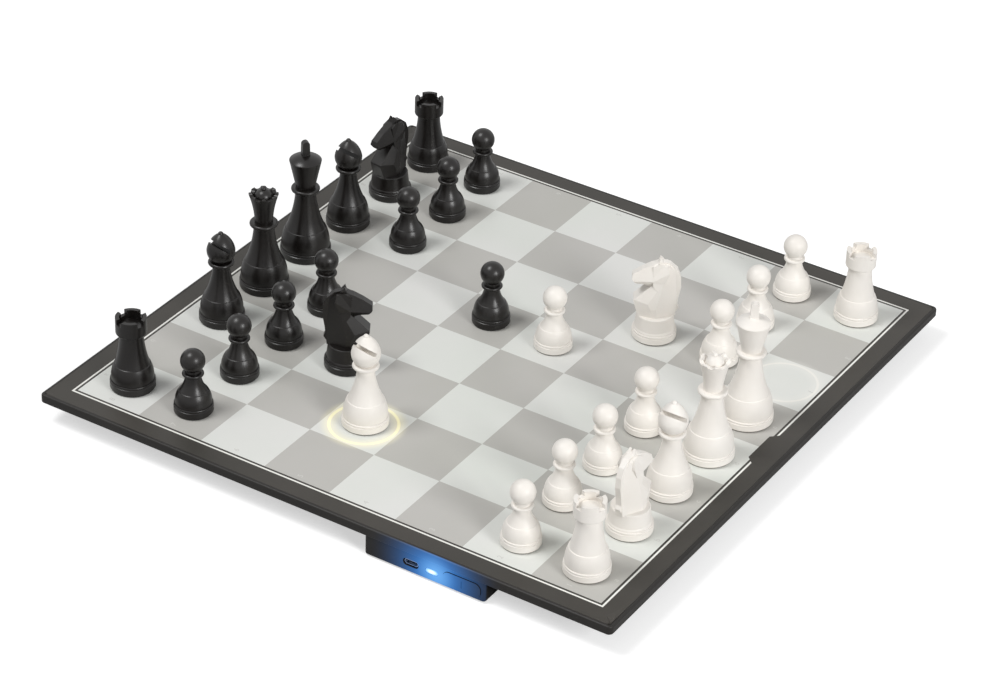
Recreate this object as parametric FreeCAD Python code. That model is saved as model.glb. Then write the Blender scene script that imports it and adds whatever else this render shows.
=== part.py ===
import FreeCAD
import Part
import math
import os

os.makedirs("parts", exist_ok=True)

V = FreeCAD.Vector

# All sizes in millimetres. +Z is up, the white player sits on the -Y side,
# file a is on the -X side, and Z = 0 is the table.

# Board
square = 45.0
files = "abcdefgh"
ranks = "12345678"
border = 16.0
field = square * len(files)
board = field + 2 * border
half = board / 2
corner_r = 3.0
edge_height = 5.7
pod_drop = 13.3
pad_height = 1.0
under_z = pad_height + pod_drop
top_z = under_z + edge_height

# Layers of the board, from the top down
sheet_t = 0.6
baffle_h = 1.0
circuit_t = 1.0
tray_t = 1.5
panel_t = edge_height - sheet_t - baffle_h - circuit_t - tray_t
sheet_z = top_z - sheet_t
panel_z = sheet_z - panel_t
circuit_z = under_z + tray_t

# Fits that many pieces share
sink = 0.2
through = 1.0
flat_rest = 0.05

# Frame and fits
rim_w = 2.0
field_margin = 1.0
frame_w = border - field_margin
rim_round = 1.2
rim_round_low = 0.8
sheet_gap = 0.15
tray_gap = 0.2
panel_gap = 0.2
inner_corner_r = 1.5
opening = board - 2 * frame_w

# Ring lights and sensors of a square
ring_margin = 2.1
ring_r = square / 2 - ring_margin
ring_w = 1.8
ring_web = 0.4
ring_gap = 0.1
rib_w = 1.4
led_size = 1.6
led_h = 0.8 * baffle_h
led_hole_r = 0.7
sensor_l = 2.8
sensor_w = 1.6
sensor_h = 0.9 * baffle_h

# Tray, screws, legs
screw_r = 1.0
screw_gap = 0.05
screw_head_r = 2.0
screw_head_h = 1.0
screw_head_gap = 0.1
screw_end_gap = 0.2
screw_cover = 0.6
screw_grip = edge_height - sheet_t - tray_t - screw_cover
screw_pitch = 96.0
peg_r = 1.5
peg_gap = 0.1
leg_inset = 35.0
leg_top_r = 11.0
leg_foot_r = 9.0
leg_spigot_r = 4.0
leg_spigot_gap = 0.05
pad_r = 7.0
pad_sink = 0.5
pad_gap = 0.1

# Pod
pod_length = 80.5
pod_depth = 66.0
pod_end_y = -34.5
pod_back = 0.8
pod_wall = 1.5
pod_round = 2.0
pod_round_low = 1.2
pod_front_x = -half + pod_back
pod_rear_x = pod_front_x + pod_depth
pod_far_y = pod_end_y - pod_length
pod_floor_z = pad_height + pod_wall
boss_r = 2.75
boss_inset = 3.1
boss_drop = 6.5
pod_screw_grip = 5.0
pod_pad_inset = 20.0

# Controls in the pod face
control_z = pad_height + 6.5
usb_share = 0.39
light_share = 0.564
button_share = 0.812
button_w_share = 0.308
usb_w = 9.0
usb_h = 3.2
usb_depth = 7.4
usb_shell = 0.3
usb_set_back = 0.8
usb_mouth_gap = 0.75
tongue_w = 6.7
tongue_t = 0.7
tongue_l = 4.5
light_w = 8.0
light_h = 3.0
light_gap = 0.15
light_lip = 0.8
light_lip_t = 0.8
light_end_gap = 0.2
button_w = pod_length * button_w_share
button_h = 9.2
button_corner_r = 3.9
button_gap = 0.2
button_proud = 0.5
button_travel = 0.8
button_lip = 0.8
button_lip_t = 1.0
button_mark_w = 0.6
button_mark_h = 4.5
button_mark_deep = 0.3
stem_w = 4.0
stem_h = 2.6
stem_l = 3.4
plunger_r = 1.2
plunger_l = 2.2
plunger_in = 0.6
plunger_gap = 0.05
plunger_spare = 0.4

# Circuit parts in the pod
main_z = control_z - usb_h / 2 - circuit_t
main_depth = 22.0
main_from_end = 9.0
main_length = pod_length - 2 * main_from_end
main_clear = 0.4
part_edge = 0.8
led_body_l = 3.0
led_body_d = 1.5
led_body_h = 2.4
led_from_edge = 0.3
switch_w = 7.0
switch_d = 4.0
switch_cover = 0.4
switch_h = usb_h + switch_cover
post_r = 2.4
post_edge = 0.6
main_screw_r = 0.8
main_screw_head_r = 1.5
main_screw_head_h = 0.7
main_screw_end_gap = 0.1
radio_w = 13.0
radio_d = 10.0
radio_h = 1.8
connector_w = 14.0
connector_d = 5.0
connector_h = 2.0
connector_from_end = 22.0
connector_from_field = 7.0
ribbon_w = 11.0
ribbon_t = 0.3
ribbon_lead = 3.0
ribbon_in = 1.5
ribbon_fit = 0.05
ribbon_slot_gap = 3.0
battery_from_end = 10.75
battery_l = pod_length - 2 * battery_from_end
battery_w = 26.0
battery_h = 6.5
battery_round = 1.5
foam_t = 1.0
foam_inset = 2.0
battery_rear_gap = 3.0
socket_w = 6.0
socket_d = 4.0
socket_h = 3.0
lead_r = 0.6
lead_space = 2.0

# Chess pieces
felt_h = 0.8
felt_inset = 0.8
slug_share = 0.5
slug_h = 7.0
slug_gap = 0.15
rim_h = 4.6
rim_edge = 0.5
groove_deep = 0.5
groove_h = 0.4
bead_h = 1.4
bead_out = 0.35
bead_step = 0.3
step_in = 0.5
step_up = 0.25
bell_swell = 0.32
cone_sag = 0.2


# Plain shapes
def block(x0, x1, y0, y1, z0, z1):
    return Part.makeBox(x1 - x0, y1 - y0, z1 - z0, V(x0, y0, z0))


def rod(radius, x, y, z0, z1):
    return Part.makeCylinder(radius, z1 - z0, V(x, y, z0))


def rod_x(radius, x0, x1, y, z):
    return Part.makeCylinder(radius, x1 - x0, V(x0, y, z), V(1, 0, 0))


def cone(r0, r1, x, y, z0, z1):
    return Part.makeCone(r0, r1, z1 - z0, V(x, y, z0))


def rounded(x0, x1, y0, y1, z0, z1, radius):
    solid = block(x0, x1, y0, y1, z0, z1)
    upright = [e for e in solid.Edges if abs(e.Vertexes[0].Z - e.Vertexes[1].Z) > (z1 - z0) / 2]
    return solid.makeFillet(radius, upright)


def rounded_square(side, z0, z1, radius):
    return rounded(-side / 2, side / 2, -side / 2, side / 2, z0, z1, radius)


def rounded_x(x0, x1, y, z, width, height, radius):
    solid = block(x0, x1, y - width / 2, y + width / 2, z - height / 2, z + height / 2)
    along = [e for e in solid.Edges if abs(e.Vertexes[0].X - e.Vertexes[1].X) > (x1 - x0) / 2]
    return solid.makeFillet(radius, along)


def edges_at(solid, z):
    return [e for e in solid.Edges if all(abs(v.Z - z) < 1e-6 for v in e.Vertexes)]


def tube(r_out, r_in, x, y, z0, z1):
    return rod(r_out, x, y, z0, z1).cut(rod(r_in, x, y, z0, z1))


def polygon(points):
    return Part.Face(Part.makePolygon(points + points[:1]))


def save(name, solids):
    shape = solids[0] if len(solids) == 1 else Part.Compound(solids)
    shape.exportStep("parts/" + name + ".step")


# Middle of a square, such as e4
def place(name):
    x = (files.index(name[0]) + 0.5) * square - field / 2
    y = (ranks.index(name[1]) + 0.5) * square - field / 2
    return x, y


squares = [letter + digit for letter in files for digit in ranks]
centres = [place(name) for name in squares]

# Playing sheet, one printed sheet that covers the border and the field
sheet_side = board - 2 * (rim_w + sheet_gap)
sheet = rounded_square(sheet_side, sheet_z, top_z, inner_corner_r)
save("playing_sheet", [sheet])

# Places of the tray screws, evenly along each side, in the middle of the frame's shelf
shelf_line = half - (rim_w + frame_w) / 2
screw_count = max(2, round(2 * shelf_line / screw_pitch))
screw_steps = [(i + 0.5) / screw_count - 0.5 for i in range(screw_count)]
screw_spots = []
for step in screw_steps:
    along = step * 2 * shelf_line
    screw_spots += [(along, shelf_line), (along, -shelf_line), (shelf_line, along), (-shelf_line, along)]

# Frame: rim, shelf under the sheet's border and recess for the tray
frame = rounded_square(board, under_z, top_z, corner_r)
frame = frame.makeFillet(rim_round, edges_at(frame, top_z))
frame = frame.makeFillet(rim_round_low, edges_at(frame, under_z))
recess_side = board - 2 * rim_w
frame_cuts = [
    rounded_square(recess_side, sheet_z, top_z + through, inner_corner_r),
    rounded_square(recess_side, under_z - through, circuit_z, inner_corner_r),
    rounded_square(opening, under_z - through, top_z + through, inner_corner_r),
]
for x, y in screw_spots:
    frame_cuts.append(rod(screw_r + screw_gap, x, y, circuit_z - through, circuit_z + screw_grip))
frame = frame.cut(frame_cuts)
save("frame", [frame])

# Light panel: one light cell under each square and a ring groove above it
panel_side = opening - 2 * panel_gap
groove_z = panel_z + ring_web
panel = rounded_square(panel_side, panel_z - baffle_h, sheet_z, inner_corner_r)
cell = (square - rib_w) / 2
cells = []
grooves = []
light_holes = []
led_spots = []
for x, y in centres:
    cells.append(block(x - cell, x + cell, y - cell, y + cell, panel_z - baffle_h - through, panel_z))
    grooves.append(tube(ring_r + ring_w / 2 + ring_gap, ring_r - ring_w / 2 - ring_gap, x, y, groove_z, sheet_z + through))
    for side in (-1, 1):
        led_spots.append((x + side * ring_r, y))
for x, y in led_spots:
    light_holes.append(rod(led_hole_r, x, y, panel_z - sink, groove_z + sink))
panel = panel.cut(cells)
panel = panel.cut(light_holes)
panel = panel.cut(grooves)
save("light_panel", [panel])

# Ring light guides, one for each square, flush with the panel
rings = [tube(ring_r + ring_w / 2, ring_r - ring_w / 2, x, y, groove_z, sheet_z) for x, y in centres]
save("light_rings", rings)

# Ring LEDs, two for each ring, and one magnetic sensor in the middle of each square
circuit_top = circuit_z + circuit_t
leds = []
for x, y in led_spots:
    leds.append(block(x - led_size / 2, x + led_size / 2, y - led_size / 2, y + led_size / 2,
                      circuit_top, circuit_top + led_h))
save("ring_leds", leds)
sensors = []
for x, y in centres:
    sensors.append(block(x - sensor_l / 2, x + sensor_l / 2, y - sensor_w / 2, y + sensor_w / 2,
                         circuit_top, circuit_top + sensor_h))
save("piece_sensors", sensors)

# Pegs of the tray that the sensor board sits on, where four squares meet
peg_spots = [(i * 2 * square, j * 2 * square) for i in (-1, 1) for j in (-1, 1)]

# Sensor board
sensor_board = rounded_square(field, circuit_z, circuit_top, inner_corner_r)
sensor_board = sensor_board.cut([rod(peg_r + peg_gap, x, y, circuit_z - through, circuit_top + through) for x, y in peg_spots])
save("sensor_board", [sensor_board])

# Ribbon run, which leaves both connectors towards the middle of the board and turns back on itself
connector_y = pod_end_y - connector_from_end
connector_x = -field / 2 + connector_from_field
main_top = main_z + circuit_t
ribbon_low = main_top + connector_h / 2
ribbon_high = circuit_z - connector_h / 2
ribbon_bend = (ribbon_high - ribbon_low) / 2
ribbon_far = connector_x + ribbon_lead + ribbon_bend + ribbon_t

# Places of the pod screws
boss_x = (pod_front_x + pod_wall + boss_inset + boss_r, pod_rear_x - pod_wall - boss_inset)
boss_y = (pod_end_y - pod_wall - boss_inset, pod_far_y + pod_wall + boss_inset)
boss_spots = [(x, y) for x in boss_x for y in boss_y]
boss_foot = under_z - boss_drop

# Tray: plate that closes the frame, with pegs above it and the pod's screw bosses under it
leg_line = half - leg_inset
leg_spots = [(i * leg_line, j * leg_line) for i in (-1, 1) for j in (-1, 1)]
tray_side = board - 2 * (rim_w + tray_gap)
tray = rounded_square(tray_side, under_z, circuit_z, inner_corner_r)
tray_adds = [rod(peg_r, x, y, under_z, circuit_top) for x, y in peg_spots]
tray_adds += [rod(boss_r, x, y, boss_foot, circuit_z) for x, y in boss_spots]
tray = tray.fuse(tray_adds)
tray_cuts = []
for x, y in screw_spots:
    tray_cuts.append(rod(screw_r + screw_gap, x, y, under_z - through, circuit_z + through))
    tray_cuts.append(rod(screw_head_r + screw_head_gap, x, y, under_z - through, under_z + screw_head_h))
for x, y in boss_spots:
    tray_cuts.append(rod(screw_r + screw_gap, x, y, boss_foot - through, boss_foot + pod_screw_grip))
for x, y in leg_spots:
    tray_cuts.append(rod(leg_spigot_r + leg_spigot_gap, x, y, under_z - through, circuit_z + through))
slot_w = connector_w / 2 + ribbon_slot_gap
tray_cuts.append(block(connector_x - connector_d - ribbon_slot_gap, ribbon_far + ribbon_slot_gap,
                       connector_y - slot_w, connector_y + slot_w, under_z - through, circuit_z + through))
tray = tray.cut(tray_cuts)
save("tray", [tray])


# Screw with a flat pan head at the bottom and its shank going up from there
def screw(x, y, z, r, length, head_r, head_h):
    return rod(head_r, x, y, z, z + head_h).fuse(rod(r, x, y, z + head_h, z + length)).removeSplitter()


tray_screws = []
for x, y in screw_spots:
    tray_screws.append(screw(x, y, under_z, screw_r, tray_t + screw_grip - screw_end_gap, screw_head_r, screw_head_h))
save("tray_screws", tray_screws)

# Legs with a spigot up into the tray, and a rubber pad let into each foot
legs = []
pads = []
for x, y in leg_spots:
    leg = cone(leg_foot_r, leg_top_r, x, y, pad_height, under_z)
    leg = leg.fuse(rod(leg_spigot_r, x, y, under_z, circuit_z)).removeSplitter()
    leg = leg.cut(rod(pad_r + pad_gap, x, y, pad_height - through, pad_height + pad_sink))
    legs.append(leg)
    pads.append(rod(pad_r, x, y, 0, pad_height + pad_sink))
save("legs", legs)

# Pod shell
usb_y = pod_end_y - pod_length * usb_share
light_y = pod_end_y - pod_length * light_share
button_y = pod_end_y - pod_length * button_share
pod_mid_x = (pod_front_x + pod_rear_x) / 2
pod_pad_spots = [(pod_mid_x, pod_end_y - pod_pad_inset), (pod_mid_x, pod_far_y + pod_pad_inset)]
pod = rounded(pod_front_x, pod_rear_x, pod_far_y, pod_end_y, pad_height, under_z, pod_round)
pod = pod.makeFillet(pod_round_low, edges_at(pod, pad_height))
inside_x0 = pod_front_x + pod_wall
inside_x1 = pod_rear_x - pod_wall
inside = rounded(inside_x0, inside_x1, pod_far_y + pod_wall, pod_end_y - pod_wall,
                 pod_floor_z, under_z + through, pod_round - pod_wall)
pod = pod.cut(inside)

# The pod floor carries three posts for the main board, and a post under each boss of the tray
main_x0 = inside_x0 + button_lip_t + button_travel + main_clear
main_x1 = main_x0 + main_depth
main_y1 = pod_end_y - main_from_end
main_y0 = main_y1 - main_length
post_in = post_r + post_edge
post_spots = [(main_x1 - post_in, main_y1 - post_in), (main_x1 - post_in, main_y0 + post_in),
              (main_x0 + post_in, main_y1 - post_in)]
posts = [rod(post_r, x, y, pod_floor_z - sink, main_z) for x, y in post_spots]
posts += [rod(boss_r, x, y, pod_floor_z - sink, boss_foot) for x, y in boss_spots]
pod = pod.fuse(posts).removeSplitter()
mouth_h = usb_h + 2 * usb_mouth_gap
window_h = light_h + 2 * light_gap
pod_cuts = [
    rounded_x(pod_front_x - through, inside_x0 + sink, usb_y, control_z, usb_w + 2 * usb_mouth_gap,
              mouth_h, mouth_h / 2 - flat_rest),
    rounded_x(pod_front_x - through, inside_x0 + sink, light_y, control_z, light_w + 2 * light_gap,
              window_h, window_h / 2 - flat_rest),
    rounded_x(pod_front_x - through, inside_x0 + sink, button_y, control_z, button_w + 2 * button_gap,
              button_h + 2 * button_gap, button_corner_r + button_gap),
]
for x, y in boss_spots:
    pod_cuts.append(rod(screw_r + screw_gap, x, y, pad_height - through, boss_foot + through))
    pod_cuts.append(rod(screw_head_r + screw_head_gap, x, y, pad_height - through, pad_height + screw_head_h))
for x, y in post_spots:
    pod_cuts.append(rod(main_screw_r + screw_gap, x, y, pod_floor_z + sink, main_z + through))
for x, y in pod_pad_spots:
    pod_cuts.append(rod(pad_r + pad_gap, x, y, pad_height - through, pad_height + pad_sink))
    pads.append(rod(pad_r, x, y, 0, pad_height + pad_sink))
pod = pod.cut(pod_cuts)
save("pod_shell", [pod])
save("foot_pads", pads)

# Pod screws go up through the pod floor into the tray's bosses
pod_screws = []
for x, y in boss_spots:
    pod_screws.append(screw(x, y, pad_height, screw_r, boss_foot + pod_screw_grip - screw_end_gap - pad_height,
                            screw_head_r, screw_head_h))
save("pod_screws", pod_screws)

# Main board
main_board = block(main_x0, main_x1, main_y0, main_y1, main_z, main_top)
main_board = main_board.cut([rod(main_screw_r + screw_gap, x, y, main_z - through, main_top + through) for x, y in post_spots])
save("main_board", [main_board])
main_screws = []
for x, y in post_spots:
    head = rod(main_screw_head_r, x, y, main_top, main_top + main_screw_head_h)
    shank = rod(main_screw_r, x, y, pod_floor_z + sink + main_screw_end_gap, main_top)
    main_screws.append(head.fuse(shank).removeSplitter())
save("main_board_screws", main_screws)

# USB port: folded shell with a tongue inside
usb_x0 = pod_front_x + usb_set_back
usb_x1 = usb_x0 + usb_depth
usb_round = usb_h / 2 - flat_rest
port = rounded_x(usb_x0, usb_x1, usb_y, control_z, usb_w, usb_h, usb_round)
mouth = rounded_x(usb_x0 - through, usb_x1 - usb_shell, usb_y, control_z, usb_w - 2 * usb_shell,
                  usb_h - 2 * usb_shell, usb_round - usb_shell)
tongue = block(usb_x1 - usb_shell - tongue_l, usb_x1 - usb_shell / 2, usb_y - tongue_w / 2, usb_y + tongue_w / 2,
               control_z - tongue_t / 2, control_z + tongue_t / 2)
port = port.cut(mouth).fuse(tongue).removeSplitter()
save("usb_port", [port])

# Light pipe with a lip behind the pod wall, and the status LED that shines into it
pipe_x1 = main_x0 - light_end_gap
pipe = rounded_x(pod_front_x, pipe_x1, light_y, control_z, light_w, light_h, light_h / 2 - flat_rest)
pipe_lip_h = light_h + 2 * light_lip
pipe_lip = rounded_x(inside_x0, inside_x0 + light_lip_t, light_y, control_z, light_w + 2 * light_lip,
                     pipe_lip_h, pipe_lip_h / 2 - flat_rest)
save("light_pipe", [pipe.fuse(pipe_lip).removeSplitter()])
status_x0 = main_x0 + led_from_edge
status = block(status_x0, status_x0 + led_body_d, light_y - led_body_l / 2, light_y + led_body_l / 2,
               main_top, main_top + led_body_h)
save("status_led", [status])

# Power button: face plate in the pod wall, a lip behind the wall and a stem to the switch
button_x0 = pod_front_x - button_proud
lip_x1 = inside_x0 + button_lip_t
button = rounded_x(button_x0, lip_x1, button_y, control_z, button_w, button_h, button_corner_r)
lip_h = button_h + 2 * min(button_lip, control_z - button_h / 2 - pod_floor_z - button_gap)
lip = rounded_x(inside_x0, lip_x1, button_y, control_z, button_w + 2 * button_lip, lip_h, button_corner_r)
stem = block(lip_x1 - sink, lip_x1 + stem_l, button_y - stem_w / 2, button_y + stem_w / 2,
             control_z - stem_h / 2, control_z + stem_h / 2)
button = button.fuse([lip, stem]).removeSplitter()
mark = block(button_x0 - through, button_x0 + button_mark_deep, button_y - button_mark_w / 2, button_y + button_mark_w / 2,
             control_z - button_mark_h / 2, control_z + button_mark_h / 2)
button = button.cut(mark)
save("power_button", [button])

# Side push switch and its plunger, which stays against the button's stem
plunger_x0 = lip_x1 + stem_l
plunger = rod_x(plunger_r, plunger_x0, plunger_x0 + plunger_l, button_y, control_z)
save("switch_plunger", [plunger])
switch_x0 = plunger_x0 + plunger_l - plunger_in
switch = block(switch_x0, switch_x0 + switch_d, button_y - switch_w / 2, button_y + switch_w / 2,
               main_top, main_top + switch_h)
bore_l = plunger_in + button_travel + plunger_spare
switch = switch.cut(rod_x(plunger_r + plunger_gap, switch_x0 - through, switch_x0 + bore_l, button_y, control_z))
save("push_switch", [switch])

# Radio module on the rear of the main board, between the light and the button
radio_x1 = main_x1 - part_edge
radio = block(radio_x1 - radio_d, radio_x1, light_y - radio_w / 2, light_y + radio_w / 2,
              main_top, main_top + radio_h)
save("radio_module", [radio])


# Ribbon connectors: one on the main board, one under the sensor board, both open towards the middle
def connector(z0):
    body = block(connector_x - connector_d, connector_x, connector_y - connector_w / 2, connector_y + connector_w / 2,
                 z0, z0 + connector_h)
    mid = z0 + connector_h / 2
    tall = ribbon_t / 2 + ribbon_fit
    wide = ribbon_w / 2 + ribbon_fit
    slot = block(connector_x - ribbon_in, connector_x + through, connector_y - wide, connector_y + wide,
                 mid - tall, mid + tall)
    return body.cut(slot)


save("ribbon_connectors", [connector(main_top), connector(circuit_z - connector_h)])

# Ribbon cable: out of the lower connector, round a half turn, and back into the upper one
ribbon_x0 = connector_x - ribbon_in
ribbon_x1 = connector_x + ribbon_lead
ribbon_mid = (ribbon_low + ribbon_high) / 2
y0 = connector_y - ribbon_w / 2
outer_r = ribbon_bend + ribbon_t / 2
inner_r = ribbon_bend - ribbon_t / 2
a0 = V(ribbon_x0, y0, ribbon_mid - outer_r)
a1 = V(ribbon_x1, y0, ribbon_mid - outer_r)
a2 = V(ribbon_x1 + outer_r, y0, ribbon_mid)
a3 = V(ribbon_x1, y0, ribbon_mid + outer_r)
a4 = V(ribbon_x0, y0, ribbon_mid + outer_r)
b0 = V(ribbon_x0, y0, ribbon_mid - inner_r)
b1 = V(ribbon_x1, y0, ribbon_mid - inner_r)
b2 = V(ribbon_x1 + inner_r, y0, ribbon_mid)
b3 = V(ribbon_x1, y0, ribbon_mid + inner_r)
b4 = V(ribbon_x0, y0, ribbon_mid + inner_r)
ribbon_edges = [
    Part.makeLine(a0, a1), Part.Arc(a1, a2, a3).toShape(), Part.makeLine(a3, a4), Part.makeLine(a4, b4),
    Part.makeLine(b4, b3), Part.Arc(b3, b2, b1).toShape(), Part.makeLine(b1, b0), Part.makeLine(b0, a0),
]
ribbon = Part.Face(Part.Wire(ribbon_edges)).extrude(V(0, ribbon_w, 0))
save("ribbon_cable", [ribbon])

# Battery on its foam pad, behind the main board
battery_x1 = inside_x1 - battery_rear_gap
battery_x0 = battery_x1 - battery_w
battery_mid = (pod_end_y + pod_far_y) / 2
battery_y0 = battery_mid - battery_l / 2
battery_y1 = battery_mid + battery_l / 2
battery_z = pod_floor_z + foam_t
foam = block(battery_x0 + foam_inset, battery_x1 - foam_inset, battery_y0 + foam_inset, battery_y1 - foam_inset,
             pod_floor_z, battery_z)
save("battery_foam", [foam])
battery = block(battery_x0, battery_x1, battery_y0, battery_y1, battery_z, battery_z + battery_h)
battery = battery.makeFillet(battery_round, battery.Edges)
save("battery", [battery])

# Battery socket on the main board, and two leads that hang between it and the battery's edge
socket_x1 = main_x1 - part_edge
socket_y = light_y - radio_w / 2 - socket_w
socket = block(socket_x1 - socket_d, socket_x1, socket_y - socket_w / 2, socket_y + socket_w / 2,
               main_top, main_top + socket_h)
save("battery_socket", [socket])
leads = []
for side in (-1, 1):
    y = socket_y + side * lead_space / 2
    start = V(socket_x1, y, main_top + socket_h / 2)
    end = V(battery_x0, y, battery_z + battery_h / 2)
    pull = V((end.x - start.x) / 2, 0, 0)
    curve = Part.BezierCurve()
    curve.setPoles([start, start + pull, end - pull, end])
    path = Part.Wire(curve.toShape())
    ring = Part.Wire(Part.makeCircle(lead_r, start, V(1, 0, 0)))
    leads.append(path.makePipeShell([ring], True, False))
save("battery_leads", leads)


# Chess pieces are made standing on Z = 0 at the origin, then set on their squares.
def arc(p, mid, q):
    return Part.Arc(V(p[0], 0, p[1]), V(mid[0], 0, mid[1]), V(q[0], 0, q[1])).toShape()


def line(p, q):
    return Part.makeLine(V(p[0], 0, p[1]), V(q[0], 0, q[1]))


# Round top or floor that ends on the axis: part of a ball centred on the axis
def cap(p, top):
    rise = top - p[1]
    ball = (p[0] ** 2 + rise ** 2) / (2 * rise)
    lean = math.asin(p[0] / ball) / 2 if abs(rise) <= abs(ball) else (math.pi - math.asin(p[0] / abs(ball))) / 2
    mid = (abs(ball) * math.sin(lean), top - ball + ball * math.cos(lean))
    return arc(p, mid, (0, top))


def turned(edges):
    face = Part.Face(Part.Wire(edges))
    return face.revolve(V(0, 0, 0), V(0, 0, 1), 360)


# Foot of a turned piece: rim, groove, thin bead and swelling bell up to the step
def foot(base_r, bell_top_r, bell_top_z):
    p0 = (0, felt_h)
    p1 = (base_r - rim_edge, felt_h)
    p2 = (base_r, felt_h + rim_edge)
    bend = rim_edge * (1 - math.sqrt(0.5))
    p3 = (base_r, rim_h)
    p4 = (base_r - groove_deep, rim_h + groove_h)
    p5 = (p4[0], p4[1] + bead_h)
    p6 = (p5[0] - bead_step, p5[1])
    p7 = (bell_top_r, bell_top_z)
    swell = (p6[0] - p7[0]) * bell_swell
    mid = ((p6[0] + p7[0]) / 2 + swell, (p6[1] + p7[1]) / 2)
    edges = [line(p0, p1), arc(p1, (base_r - bend, felt_h + bend), p2), line(p2, p3), line(p3, p4)]
    edges += [arc(p4, (p4[0] + bead_out, p4[1] + bead_h / 2), p5), line(p5, p6), arc(p6, mid, p7)]
    return edges, p7


# Waist: the step, then a hollow cone up to the neck
def waist(start, neck_r, neck_z):
    p0 = (start[0] - step_in, start[1] + step_up)
    p1 = (neck_r, neck_z)
    sag = (p0[0] - p1[0]) * cone_sag
    mid = ((p0[0] + p1[0]) / 2 - sag, (p0[1] + p1[1]) / 2)
    return [line(start, p0), arc(p0, mid, p1)], p1


# Collar: a round-edged ring, ending at the radius of what stands on it
def collar(start, r, h, next_r):
    z0 = start[1]
    p0 = (r - h / 2, z0)
    p1 = (r - h / 2, z0 + h)
    p2 = (next_r, z0 + h)
    return [line(start, p0), arc(p0, (r, z0 + h / 2), p1), line(p1, p2)], p2


# Stem of every turned piece, from the foot to the top of the collar
def stem_edges(base_r, bell_r, bell_z, neck_r, neck_z, collar_r, collar_h, next_r):
    edges, point = foot(base_r, bell_r, bell_z)
    more, point = waist(point, neck_r, neck_z)
    edges += more
    more, point = collar(point, collar_r, collar_h, next_r)
    return edges + more, point


# Magnet slug and felt pad under a piece, and the hole that the slug sits in
def weighted(body, base_r):
    slug_r = base_r * slug_share
    body = body.cut(rod(slug_r + slug_gap, 0, 0, 0, felt_h + slug_h))
    slug = rod(slug_r, 0, 0, felt_h, felt_h + slug_h)
    felt = rod(base_r - felt_inset, 0, 0, 0, felt_h)
    return [body, slug, felt]


def pawn():
    base_r = 11.8
    ball_r = 7.4
    ball_z = 34.6
    edges, point = stem_edges(base_r, bell_r=8.8, bell_z=14.6, neck_r=4.6, neck_z=24.8,
                              collar_r=6.5, collar_h=2.3, next_r=4.7)
    seat_z = ball_z - math.sqrt(ball_r ** 2 - point[0] ** 2)
    seat = (point[0], seat_z)
    top = (0, ball_z + ball_r)
    edges.append(line(point, seat))
    edges.append(arc(seat, (ball_r, ball_z), top))
    edges.append(line(top, (0, felt_h)))
    return weighted(turned(edges), base_r)


def rook():
    base_r = 13.6
    wall_r = 9.3
    well_r = 6.9
    crown_z = 48.3
    well_z = 43.0
    well_rise = 0.8
    gap_z = 45.3
    gap_w = 4.4
    lip_z = 37.3
    lip_in = 0.9
    lip_h = 1.5
    edges, point = foot(base_r, bell_top_r=10.9, bell_top_z=16.4)
    more, point = waist(point, neck_r=7.1, neck_z=36.8)
    edges += more
    under = (wall_r - lip_in, lip_z)
    flare = (wall_r, lip_z + lip_h)
    edges.append(line(point, under))
    edges.append(arc(under, (wall_r - lip_in * 0.2, lip_z + lip_h * 0.4), flare))
    rim = (wall_r, crown_z)
    well = (well_r, crown_z)
    floor = (well_r, well_z)
    middle = (0, well_z + well_rise)
    edges.append(line(flare, rim))
    edges.append(line(rim, well))
    edges.append(line(well, floor))
    edges.append(cap(floor, well_z + well_rise))
    edges.append(line(middle, (0, felt_h)))
    body = turned(edges)
    reach = wall_r + through
    body = body.cut([
        block(-reach, reach, -gap_w / 2, gap_w / 2, gap_z, crown_z + through),
        block(-gap_w / 2, gap_w / 2, -reach, reach, gap_z, crown_z + through),
    ])
    body.rotate(V(0, 0, 0), V(0, 0, 1), 45)
    return weighted(body, base_r)


def bishop():
    base_r = 14.0
    mitre_r = 8.7
    mitre_z = 49.4
    tip_z = 61.7
    slot_t = 2.4
    slot_slope = 38.0
    slot_z = 51.2
    slot_end = 0.8
    cheek = (7.85, 45.0)
    brow = (6.9, 54.6)
    tip_r = 1.7
    tip_h = 1.6
    edges, point = stem_edges(base_r, bell_r=11.1, bell_z=17.4, neck_r=5.0, neck_z=39.2,
                              collar_r=8.0, collar_h=2.6, next_r=5.4)
    wide = (mitre_r, mitre_z)
    shoulder = (tip_r, tip_z - tip_h)
    tip = (0, tip_z)
    edges.append(arc(point, cheek, wide))
    edges.append(arc(wide, brow, shoulder))
    edges.append(cap(shoulder, tip_z))
    edges.append(line(tip, (0, felt_h)))
    body = turned(edges)
    slot = block(-slot_end, 2 * mitre_r, -2 * mitre_r, 2 * mitre_r, -slot_t / 2, slot_t / 2)
    slot.rotate(V(0, 0, 0), V(0, 1, 0), -slot_slope)
    slot.translate(V(0, 0, slot_z))
    return weighted(body.cut(slot), base_r)


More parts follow.
